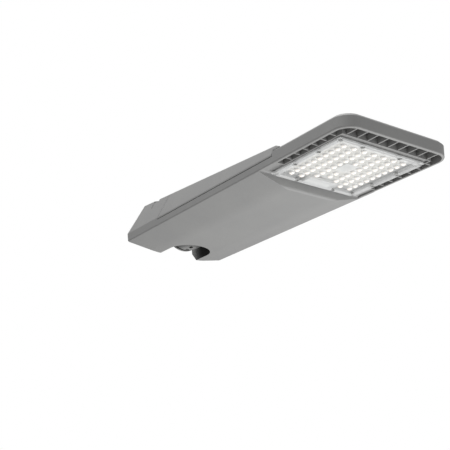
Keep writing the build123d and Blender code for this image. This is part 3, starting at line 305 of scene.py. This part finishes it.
# Terminal block: ivory polyamide, moulded, and fixed to the gear tray. It is a little translucent
# at its edges, and the melt's flow shows as faint clouds.
ivory, tree, place = new_finish("ivory_polyamide", {
    "Subsurface Weight": 0.1, "Subsurface Radius": (0.004, 0.003, 0.002), "Subsurface Scale": 0.4})
flow = add(tree, "ShaderNodeTexNoise", {
    "Scale": 70.0, "Detail": 3.0, "Distortion": 0.6}, Vector=place)
grain = add(tree, "ShaderNodeTexNoise", {"Scale": 2000.0, "Detail": 2.0}, Vector=place)
tone = add(tree, "ShaderNodeValToRGB", Fac=flow.outputs["Fac"])
tone.color_ramp.elements[0].color = linear("E4DFCF")
tone.color_ramp.elements[1].color = linear("F2EEE2")
gloss = add(tree, "ShaderNodeMapRange", {
    "To Min": 0.38, "To Max": 0.5}, Value=grain.outputs["Fac"])
lay_on(tree, tone.outputs["Color"], gloss.outputs["Result"])
dress(("terminal_block",), ivory)

# Board connector: white polyamide, moulded with a smooth skin and soldered to the LED board under
# the box in the cover.
white, tree, place = new_finish("white_polyamide")
flow = add(tree, "ShaderNodeTexNoise", {"Scale": 90.0, "Detail": 3.0}, Vector=place)
tone = add(tree, "ShaderNodeValToRGB", Fac=flow.outputs["Fac"])
tone.color_ramp.elements[0].color = linear("F3F3F1")
tone.color_ramp.elements[1].color = linear("FAFAF9")
gloss = add(tree, "ShaderNodeMapRange", {
    "To Min": 0.3, "To Max": 0.42}, Value=flow.outputs["Fac"])
lay_on(tree, tone.outputs["Color"], gloss.outputs["Result"])
dress(("board_connector",), white)

# LED board: an aluminium board under a white solder mask, screwed to the floor of the recess. Pale
# copper fields, one lens wide and three long, show under the mask with thin gaps between them.
pitch_x, pitch_y = 0.01433, 0.02041
mask, tree, place = new_finish("white_solder_mask", {"Roughness": 0.34})
fields = add(tree, "ShaderNodeTexBrick", {
    "Color1": linear("F7F7F3"), "Color2": linear("F3F3EE"), "Mortar": linear("E9E9E4"),
    "Scale": 1.0, "Mortar Size": 0.0005, "Mortar Smooth": 0.3, "Bias": 0.0,
    "Brick Width": 3 * pitch_x, "Row Height": pitch_y}, Vector=place)
bump = add(tree, "ShaderNodeBump", {
    "Strength": 0.2, "Distance": 0.0001, "invert": True}, Height=fields.outputs["Fac"])
lay_on(tree, fields.outputs["Color"], relief=bump.outputs["Normal"])
dress(("led_board",), mask)

# LEDs: square white ceramic packages soldered to the board, each with a round yellow phosphor
# face. The face is drawn once in a cell of the lens pitch and repeats over the grid.
first_row_x = 0.436
phosphor_radius, package_radius = 0.00125, 0.0014
phosphor, tree, place = new_finish("led_package", {"Roughness": 0.3})
offset = add(tree, "ShaderNodeVectorMath", {"operation": "SUBTRACT"}, place)
offset.inputs[1].default_value = (first_row_x, 0.0, 0.0)
cell = add(tree, "ShaderNodeVectorMath", {"operation": "WRAP"}, offset.outputs[0])
cell.inputs[1].default_value = (pitch_x / 2, pitch_y / 2, 1.0)
cell.inputs[2].default_value = (-pitch_x / 2, -pitch_y / 2, -1.0)
level = add(tree, "ShaderNodeVectorMath", {"operation": "MULTIPLY"}, cell.outputs[0])
level.inputs[1].default_value = (1.0, 1.0, 0.0)
reach = add(tree, "ShaderNodeVectorMath", {"operation": "LENGTH"}, level.outputs[0])
spot = add(tree, "ShaderNodeMapRange", {
    "From Min": phosphor_radius, "From Max": package_radius}, Value=reach.outputs["Value"])
tone = add(tree, "ShaderNodeValToRGB", Fac=spot.outputs["Result"])
tone.color_ramp.elements[0].color = linear("F6EEDA")
tone.color_ramp.elements[1].color = linear("F3F2EC")
lay_on(tree, tone.outputs["Color"])
dress(("leds",), phosphor)

# Thermal pad: a soft grey silicone sheet filled with ceramic grains of about 0.7 mm, squeezed
# between the LED board and the casting.
pad, tree, place = new_finish("thermal_silicone", {"Roughness": 0.85})
filler = add(tree, "ShaderNodeTexNoise", {"Scale": 1500.0, "Detail": 2.0}, Vector=place)
tone = add(tree, "ShaderNodeValToRGB", Fac=filler.outputs["Fac"])
tone.color_ramp.elements[0].color = linear("6F7A84")
tone.color_ramp.elements[1].color = linear("98A1A8")
lay_on(tree, tone.outputs["Color"])
dress(("thermal_pad",), pad)

# Gear tray: folded zinc-plated sheet steel, screwed to four bosses, with the pale spangle of the
# plating in crystals of about 8 mm.
zinc, tree, place = new_finish("zinc_plated_sheet", {"Metallic": 0.9})
spangle = add(tree, "ShaderNodeTexVoronoi", {"Scale": 130.0}, Vector=place)
tone = add(tree, "ShaderNodeValToRGB", Fac=spangle.outputs["Color"])
tone.color_ramp.elements[0].color = linear("A9ADB0")
tone.color_ramp.elements[1].color = linear("C9CCCE")
gloss = add(tree, "ShaderNodeMapRange", {
    "To Min": 0.3, "To Max": 0.55}, Value=spangle.outputs["Color"])
lay_on(tree, tone.outputs["Color"], gloss.outputs["Result"])
dress(("gear_tray",), zinc)

# Driver: an extruded aluminium case, satin, potted and closed at both ends, and screwed to the
# tray. Draw lines of about 0.7 mm run along its length.
satin, tree, place = new_finish("satin_aluminium", {"Metallic": 0.95})
stretch = add(tree, "ShaderNodeMapping", {"Scale": (6.0, 1500.0, 1500.0)}, Vector=place)
lines = add(tree, "ShaderNodeTexNoise", {
    "Scale": 1.0, "Detail": 3.0}, Vector=stretch.outputs["Vector"])
tone = add(tree, "ShaderNodeValToRGB", Fac=lines.outputs["Fac"])
tone.color_ramp.elements[0].color = linear("B4B6B8")
tone.color_ramp.elements[1].color = linear("D2D4D5")
gloss = add(tree, "ShaderNodeMapRange", {
    "To Min": 0.32, "To Max": 0.5}, Value=lines.outputs["Fac"])
bump = add(tree, "ShaderNodeBump", {
    "Strength": 0.08, "Distance": 0.0001}, Height=lines.outputs["Fac"])
lay_on(tree, tone.outputs["Color"], gloss.outputs["Result"], bump.outputs["Normal"])
dress(("driver",), satin)

# Surge protector: a slate grey moulded case filled with resin, screwed down by its foot. It has
# the fine grain of its mould.
slate, tree, place = new_finish("slate_grey_case")
grain = add(tree, "ShaderNodeTexNoise", {"Scale": 1700.0, "Detail": 2.0}, Vector=place)
flow = add(tree, "ShaderNodeTexNoise", {"Scale": 50.0, "Detail": 3.0}, Vector=place)
tone = add(tree, "ShaderNodeValToRGB", Fac=flow.outputs["Fac"])
tone.color_ramp.elements[0].color = linear("474C53")
tone.color_ramp.elements[1].color = linear("575C63")
gloss = add(tree, "ShaderNodeMapRange", {
    "To Min": 0.4, "To Max": 0.55}, Value=grain.outputs["Fac"])
bump = add(tree, "ShaderNodeBump", {
    "Strength": 0.1, "Distance": 0.0001}, Height=grain.outputs["Fac"])
lay_on(tree, tone.outputs["Color"], gloss.outputs["Result"], bump.outputs["Normal"])
dress(("surge_protector",), slate)

# Inner leads: stranded copper under smooth coloured insulation. Brown, green and blue run from the
# terminal block to the driver, black and red on to the LED board, and brown and green to the surge
# protector. The colour changes where y passes a border, in the gap between two leads.
range_y = 0.05
for name, label, colours, borders in (
    ("input_leads", "input_sleeves", ("6B3F22", "3F7D3A", "2C56A8"), (-0.006, 0.006)),
    ("output_leads", "output_sleeves", ("1E1E20", "A92822"), (0.0,)),
    ("surge_leads", "surge_sleeves", ("6B3F22", "3F7D3A"), (-0.022,)),
):
    sleeve, tree, place = new_finish(label)
    apart = add(tree, "ShaderNodeSeparateXYZ", Vector=place)
    band = add(tree, "ShaderNodeMapRange", {
        "From Min": -range_y, "From Max": range_y}, Value=apart.outputs["Y"])
    tone = add(tree, "ShaderNodeValToRGB", Fac=band.outputs["Result"])
    tone.color_ramp.interpolation = "CONSTANT"
    stops = [(border + range_y) / (2 * range_y) for border in borders]
    tone.color_ramp.elements[0].color = linear(colours[0])
    tone.color_ramp.elements[1].position = stops[0]
    tone.color_ramp.elements[1].color = linear(colours[1])
    for colour, stop in zip(colours[2:], stops[1:]):
        tone.color_ramp.elements.new(stop).color = linear(colour)
    sheen = add(tree, "ShaderNodeTexNoise", {"Scale": 220.0, "Detail": 3.0}, Vector=place)
    gloss = add(tree, "ShaderNodeMapRange", {
        "To Min": 0.34, "To Max": 0.5}, Value=sheen.outputs["Fac"])
    lay_on(tree, tone.outputs["Color"], gloss.outputs["Result"])
    dress((name,), sleeve)

# Lens cover: one moulding of clear polycarbonate, screwed to the head over its gasket. Its lip and
# border are frosted, its plate is clear, and each LED has a round white lens with a painted warm
# glow in its middle and painted shade on its rim. The ripple of the skin is 25 mm on clear parts,
# 17 mm on lenses, 1 mm on frosted ones.
polycarbonates = []
for name, colour, alpha, smoothest, roughest, ripple_scale in (
    ("clear_polycarbonate", "F7F8F8", 0.07, 0.03, 0.08, 40.0),
    ("frosted_polycarbonate", "F4F5F5", 0.46, 0.2, 0.34, 900.0),
    ("lens_polycarbonate", "FFFFFE", 0.85, 0.06, 0.14, 60.0),
):
    material, tree, place = new_finish(name, {
        "Base Color": linear(colour), "Alpha": alpha, "IOR": 1.58})
    ripple = add(tree, "ShaderNodeTexNoise", {"Scale": ripple_scale, "Detail": 2.0}, Vector=place)
    gloss = add(tree, "ShaderNodeMapRange", {
        "To Min": smoothest, "To Max": roughest}, Value=ripple.outputs["Fac"])
    bump = add(tree, "ShaderNodeBump", {
        "Strength": 0.04, "Distance": 0.0002}, Height=ripple.outputs["Fac"])
    lay_on(tree, gloss=gloss.outputs["Result"], relief=bump.outputs["Normal"])
    polycarbonates.append(material)
clear, frosted, beads = polycarbonates
tree = beads.node_tree
inputs = tree.nodes["Principled BSDF"].inputs
# The lenses are no lamps: their warm emission is a painted glow for the light of the LEDs behind
# them.
inputs["Emission Strength"].default_value = 0.45
reach = add(tree, "ShaderNodeAttribute", {"attribute_name": "reach"})
# Each lens is warm white and glowing in its middle and greyer at its rim: painted glow and painted
# shade.
for socket, middle, rim in (
    ("Base Color", "FFFDFA", "E6E7E7"),
    ("Emission Color", "FFEBD8", "000000"),
):
    tone = add(tree, "ShaderNodeValToRGB", Fac=reach.outputs["Fac"])
    tone.color_ramp.elements[0].position = 0.45
    tone.color_ramp.elements[0].color = linear(middle)
    tone.color_ramp.elements[1].position = 0.9
    tone.color_ramp.elements[1].color = linear(rim)
    tree.links.new(tone.outputs["Color"], inputs[socket])

# The plate and its lip start as one block, whose outer face is sunk inside the lip. Four shallow
# steps run round it next to the lip, and only the middle of the plate is clear.
cover_x = 0.5005
cover_length, cover_width = 0.172, 0.1746
plate_top, plate_low, lip_low = -0.0312, -0.0324, -0.0362
lip_width = 0.0022
step_width, step_height = 0.00195, 0.0005
border_width = 0.01
corner_radius = 0.002
near_corner = 0.0005
bpy.ops.object.select_all(action="DESELECT")
bpy.ops.mesh.primitive_cube_add(size=1, location=(cover_x, 0, (plate_top + lip_low) / 2))
cover = bpy.context.object
cover.name = "clear_lens_cover"
cover.scale = (cover_length, cover_width, plate_top - lip_low)
bpy.ops.object.transform_apply(location=True, rotation=True, scale=True)
for material in (frosted, clear, beads):
    cover.data.materials.append(material)
for polygon in cover.data.polygons:
    polygon.select = polygon.normal.z < -0.9
bpy.ops.object.mode_set(mode="EDIT")
bpy.ops.mesh.inset(thickness=lip_width)
bpy.ops.mesh.extrude_region_move(TRANSFORM_OT_translate={"value": (0, 0, plate_low - lip_low)})
for height in (step_height, -step_height, step_height, -step_height):
    bpy.ops.mesh.inset(thickness=step_width)
    bpy.ops.mesh.extrude_region_move(TRANSFORM_OT_translate={"value": (0, 0, height)})
cover.active_material_index = 1
bpy.ops.object.material_slot_assign()
bpy.ops.mesh.select_all(action="DESELECT")
bpy.ops.object.mode_set(mode="OBJECT")
for polygon in cover.data.polygons:
    polygon.select = polygon.normal.z > 0.9
bpy.ops.object.mode_set(mode="EDIT")
bpy.ops.mesh.inset(thickness=border_width)
bpy.ops.object.material_slot_assign()
bpy.ops.mesh.select_mode(type="EDGE")
bpy.ops.mesh.select_all(action="DESELECT")
bpy.ops.object.mode_set(mode="OBJECT")
for edge in cover.data.edges:
    ends = [cover.data.vertices[i].co for i in edge.vertices]
    edge.select = all(
        abs(end.x - cover_x) > cover_length / 2 - near_corner
        and abs(end.y) > cover_width / 2 - near_corner for end in ends)
bpy.ops.object.mode_set(mode="EDIT")
bpy.ops.mesh.bevel(offset=corner_radius, segments=4)
bpy.ops.mesh.select_mode(type="FACE")
bpy.ops.object.mode_set(mode="OBJECT")

# The lip is cut away outward of each of the twelve screws, where the screwdriver goes in. They
# stand in groups of four, given by how far they are from the middle of the cover along and across,
# whether the lip is ahead or beside them, and how far outward the cut lies.
seat_z = -0.0338
notch_radius, cut_depth = 0.0042, 0.006
edge_round = 0.0003
screws = [
    (end, side, *group)
    for group in ((0.079, 0.038, 1, 0, 0.002), (0.0295, 0.0803, 0, 1, 0.0025),
                  (0.079, 0.0803, 1, 1, 0.004))
    for end in (-1, 1) for side in (-1, 1)
]
bpy.ops.object.select_all(action="DESELECT")
cutters = []
for end, side, along, across, lip_ahead, lip_beside, outward in screws:
    x = cover_x + end * (along + lip_ahead * outward)
    y = side * (across + lip_beside * outward)
    bpy.ops.mesh.primitive_cylinder_add(
        vertices=32, radius=notch_radius, depth=cut_depth,
        location=(x, y, seat_z - cut_depth / 2))
    cutters.append(bpy.context.object)
for cutter in cutters:
    cutter.select_set(True)
bpy.context.view_layer.objects.active = cutters[0]
bpy.ops.object.join()
cutter = bpy.context.object
cutter.data.materials.append(frosted)
bpy.ops.object.select_all(action="DESELECT")
bpy.context.view_layer.objects.active = cover
cover.select_set(True)
cut = cover.modifiers.new("notches", "BOOLEAN")
cut.operation = "DIFFERENCE"
cut.object = cutter
bpy.ops.object.modifier_apply(modifier="notches")
soften = cover.modifiers.new("edges", "BEVEL")
soften.width = edge_round
soften.segments = 2
soften.limit_method = "ANGLE"
soften.angle_limit = radians(50)
bpy.ops.object.modifier_apply(modifier="edges")
bpy.data.objects.remove(cutter)

# One screw pocket: a short round cup under the plate, with a floor for the screw's head to sit on,
# open on its outer side. Each screw has a copy of it, turned to the lip.
cup_radius, cup_wall, cup_open_x = 0.0052, 0.0012, 0.0028
bpy.ops.mesh.primitive_cylinder_add(
    vertices=40, radius=cup_radius, depth=plate_low - lip_low,
    location=(0, 0, (plate_low + lip_low) / 2))
cup = bpy.context.object
cup.name = "cover_pocket"
bpy.ops.object.transform_apply(location=True, rotation=True, scale=True)
cup.data.materials.append(clear)
for polygon in cup.data.polygons:
    polygon.select = polygon.normal.z < -0.9
bpy.ops.object.mode_set(mode="EDIT")
bpy.ops.mesh.inset(thickness=cup_wall)
bpy.ops.mesh.extrude_region_move(TRANSFORM_OT_translate={"value": (0, 0, seat_z - lip_low)})
bpy.ops.mesh.select_all(action="SELECT")
bpy.ops.mesh.bisect(
    plane_co=(cup_open_x, 0, 0), plane_no=(1, 0, 0), use_fill=True, clear_outer=True)
bpy.ops.object.mode_set(mode="OBJECT")
pieces = []
for end, side, along, across, lip_ahead, lip_beside, outward in screws:
    copy = cup.copy()
    copy.data = cup.data.copy()
    copy.location = (cover_x + end * along, side * across, 0)
    copy.rotation_euler = (0, 0, atan2(side * lip_beside, end * lip_ahead))
    bpy.context.collection.objects.link(copy)
    pieces.append(copy)
bpy.data.objects.remove(cup)

# One lens: a round bead on a narrow foot, turned round its axis from its half outline. It starts
# inside the plate, and a value from its middle to its rim carries its painted glow and rim shade.
foot_radius, neck_radius, foot_height = 0.0059, 0.0055, 0.0004
bead_radius, bead_height = 0.0053, 0.0042
lens_z = -0.0313
profile = [(foot_radius, 0.0, 0.0), (neck_radius, 0.0, -foot_height)]
for step in range(10):
    angle = radians(5 + 85 * step / 9)
    profile.append((bead_radius * cos(angle), 0.0, -foot_height - bead_height * sin(angle)))
outline = bpy.data.meshes.new("lens")
outline.from_pydata(profile, [(i, i + 1) for i in range(len(profile) - 1)], [])
bead = bpy.data.objects.new("lens", outline)
bpy.context.collection.objects.link(bead)
bpy.ops.object.select_all(action="DESELECT")
bead.select_set(True)
bpy.context.view_layer.objects.active = bead
bpy.ops.object.mode_set(mode="EDIT")
bpy.ops.mesh.select_all(action="SELECT")
bpy.ops.mesh.spin(steps=32, angle=2 * pi, center=(0, 0, 0), axis=(0, 0, 1))
bpy.ops.mesh.select_all(action="SELECT")
bpy.ops.mesh.remove_doubles(threshold=0.00001)
bpy.ops.mesh.normals_make_consistent(inside=False)
bpy.ops.object.mode_set(mode="OBJECT")
bpy.ops.object.shade_smooth()
bead.data.materials.append(beads)
reach = bead.data.attributes.new("reach", "FLOAT", "POINT")
for vertex in bead.data.vertices:
    reach.data[vertex.index].value = vertex.co.xy.length / foot_radius

# The lenses stand in ten rows of seven, but for the places of the connector's box and the blank
# pad. Two more stand between these, off the grid.
grid = [
    (row, column) for row in range(10) for column in range(-3, 4)
    if not (row == 0 and abs(column) < 2) and not (column == 0 and row < 6)
]
for row, column in grid + [(1.62, 0), (2.63, 0)]:
    copy = bead.copy()
    copy.data = bead.data.copy()
    copy.location = (first_row_x + pitch_x * row, pitch_y * column, lens_z)
    bpy.context.collection.objects.link(copy)
    pieces.append(copy)
bpy.data.objects.remove(bead)

# The blank pad in the middle of the lenses and the box over the board's connector stand out from
# the plate, frosted and with rounded edges.
for name, middle_x, length, width, height, edge in (
    ("cover_blank", 0.5005, 0.03, 0.026, 0.001, 0.0004),
    ("cover_box", 0.43175, 0.0265, 0.06, 0.0051, 0.0009),
):
    bpy.ops.mesh.primitive_cube_add(size=1, location=(middle_x, 0, plate_low - height / 2))
    block = bpy.context.object
    block.name = name
    block.scale = (length, width, height)
    bpy.ops.object.transform_apply(location=True, rotation=True, scale=True)
    bpy.ops.object.mode_set(mode="EDIT")
    bpy.ops.mesh.select_all(action="SELECT")
    bpy.ops.mesh.bevel(offset=edge, segments=3)
    bpy.ops.object.mode_set(mode="OBJECT")
    block.data.materials.append(frosted)
    pieces.append(block)
bpy.ops.object.select_all(action="DESELECT")
for piece in pieces:
    piece.select_set(True)
cover.select_set(True)
bpy.context.view_layer.objects.active = cover
bpy.ops.object.join()
bpy.ops.object.shade_smooth_by_angle(angle=radians(35))
bpy.ops.object.mode_set(mode="EDIT")
bpy.ops.mesh.select_all(action="SELECT")
bpy.ops.mesh.normals_make_consistent(inside=False)
bpy.ops.object.mode_set(mode="OBJECT")
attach(cover, "housing")
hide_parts("lens_cover")

# Lid feet: the two small wedges cast on the lid's front corners and painted with it. They carry its
# sloping sides on down to the bevelled edge of the head.
rear_x, front_top_x, front_low_x = 0.4447, 0.4624, 0.4636
inner_y, outer_top_y, outer_low_y = 0.1039, 0.1063, 0.10745
top_z, inner_low_z, outer_low_z = -0.0071, -0.00745, -0.01095
block_middle = Vector((0.4535, 0.1052, -0.009))
for side, name in ((-1, "lid_foot_right"), (1, "lid_foot_left")):
    bpy.ops.object.select_all(action="DESELECT")
    bpy.ops.mesh.primitive_cube_add(
        size=1, location=(block_middle.x, side * block_middle.y, block_middle.z))
    foot = bpy.context.object
    foot.name = name
    bpy.ops.object.transform_apply(location=True, rotation=True, scale=True)
    for vertex in foot.data.vertices:
        front = vertex.co.x > block_middle.x
        outer = abs(vertex.co.y) > block_middle.y
        if vertex.co.z > block_middle.z:
            x, y, z = front_top_x, outer_top_y if outer else inner_y, top_z
        elif outer:
            x, y, z = front_low_x, outer_low_y, outer_low_z
        else:
            x, y, z = front_low_x, inner_y, inner_low_z
        vertex.co = (x if front else rear_x, side * y, z)
    bpy.ops.object.mode_set(mode="EDIT")
    bpy.ops.mesh.select_all(action="SELECT")
    bpy.ops.mesh.bevel(offset=0.0001, segments=1)
    bpy.ops.mesh.normals_make_consistent(inside=False)
    bpy.ops.object.mode_set(mode="OBJECT")
    foot.data.materials.append(paint)
    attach(foot, "lid")
